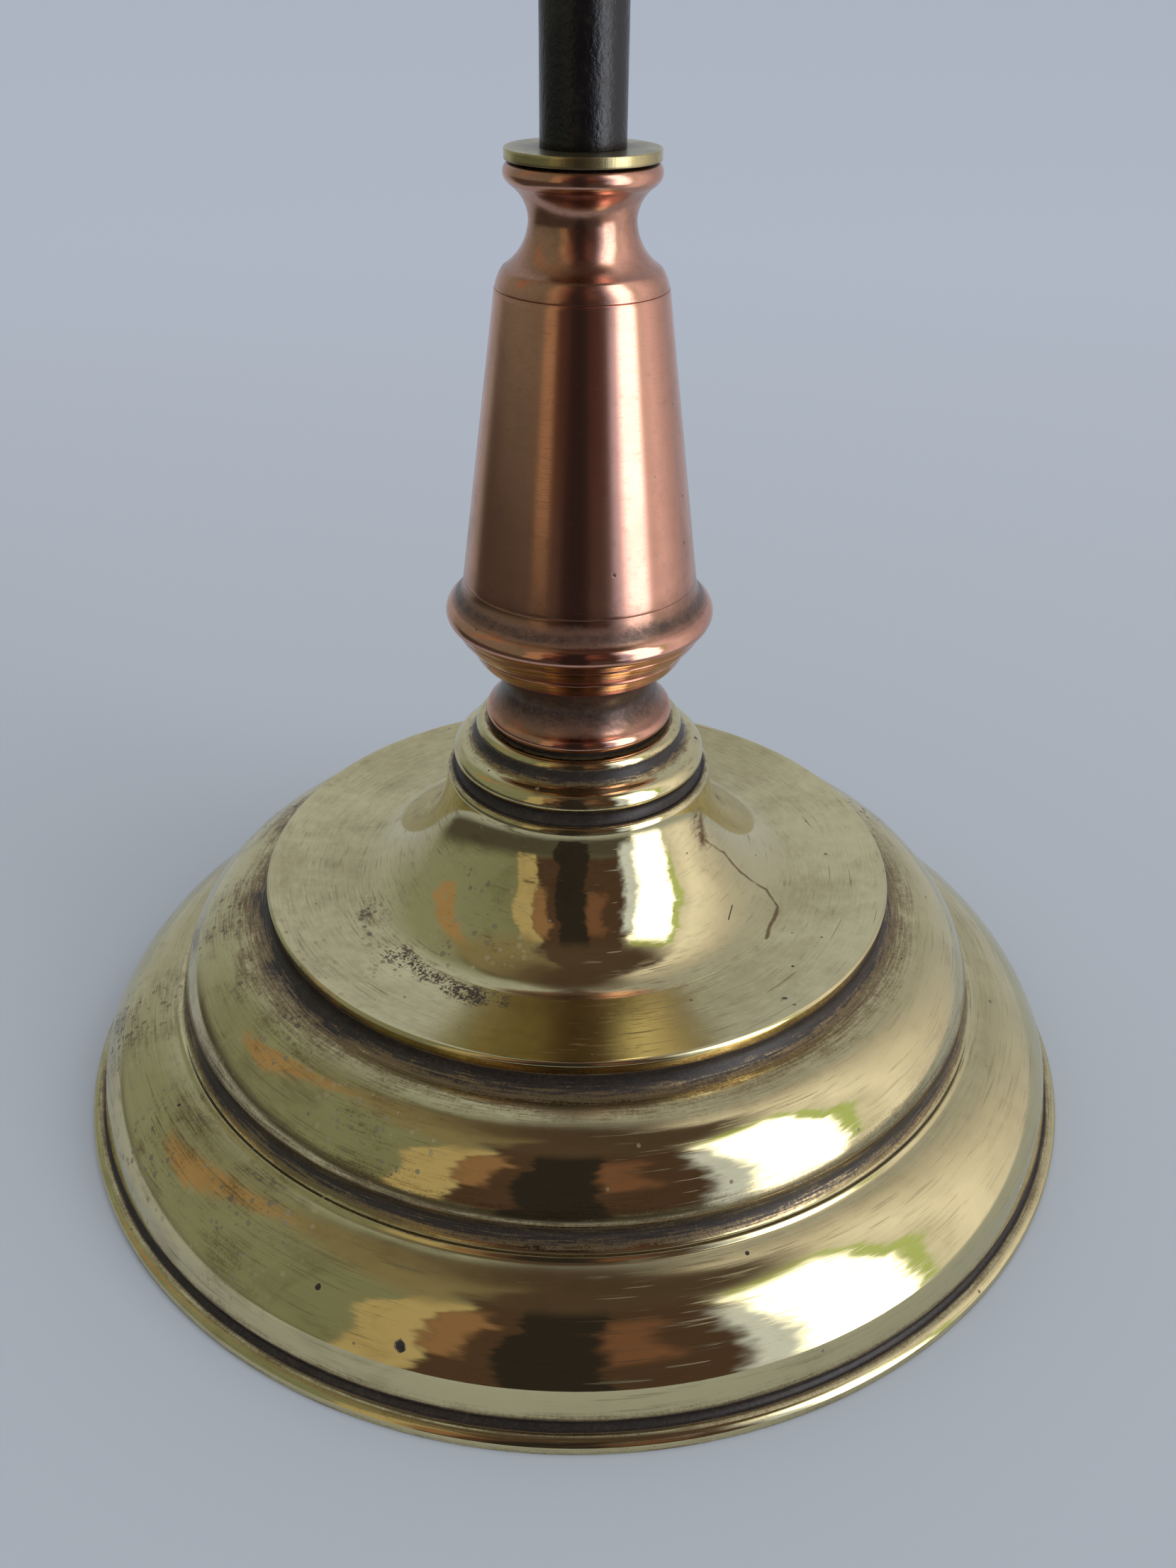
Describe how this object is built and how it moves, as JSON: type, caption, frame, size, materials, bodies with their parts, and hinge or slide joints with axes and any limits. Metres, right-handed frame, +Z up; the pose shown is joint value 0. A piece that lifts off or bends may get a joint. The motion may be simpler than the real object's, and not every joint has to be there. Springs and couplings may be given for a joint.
{
  "type": "pedestal stand",
  "caption": "Round stepped brass pedestal base with a turned copper column and a black tubular stem that turns on a packing at the column's top.",
  "frame": {"origin": "centre of the foot's underside, on the surface that the stand rests on", "axes": "+Z up along the stem and the turning axis of every piece; -Y towards the pictured front"},
  "size_m": [0.19, 0.19, 0.2668],
  "materials": {
    "base_brass": "polished, with dark patina in the grooves",
    "copper": "satin copper, brushed round",
    "washer_brass": "brushed, dull on top",
    "bush_brass": "machined",
    "packing": "dark oiled leather",
    "black_paint": "black satin paint with brush texture",
    "steel": "plain machined steel",
    "cover_steel": "plain sheet steel",
    "iron": "rough casting",
    "felt": "dark green baize"
  },
  "bodies": {
    "stand": {"base_shell": "base_brass", "base_bell": "base_brass", "hub_collar": "base_brass", "foot_packing": "packing", "column_foot": "copper", "column_cone": "copper", "column_cap": "copper", "neck_packing": "packing", "upper_bush": "bush_brass", "lower_bush": "bush_brass", "ballast": "iron", "thrust_washer": "steel", "base_cover": "cover_steel", "cover_screws": "steel", "felt_pad": "felt"},
    "stem": {"stem_tube": "black_paint", "stem_washer": "washer_brass", "stem_plug": "steel", "tie_rod": "steel", "spring_washer": "steel", "tie_nut": "steel", "lock_nut": "steel"}
  },
  "joints": [
    {"name": "stem_swivel", "type": "hinge", "parent": "stand", "child": "stem", "pos_m": [0, 0, 0.16516], "axis": [0, 0, 1], "continuous": true}
  ]
}
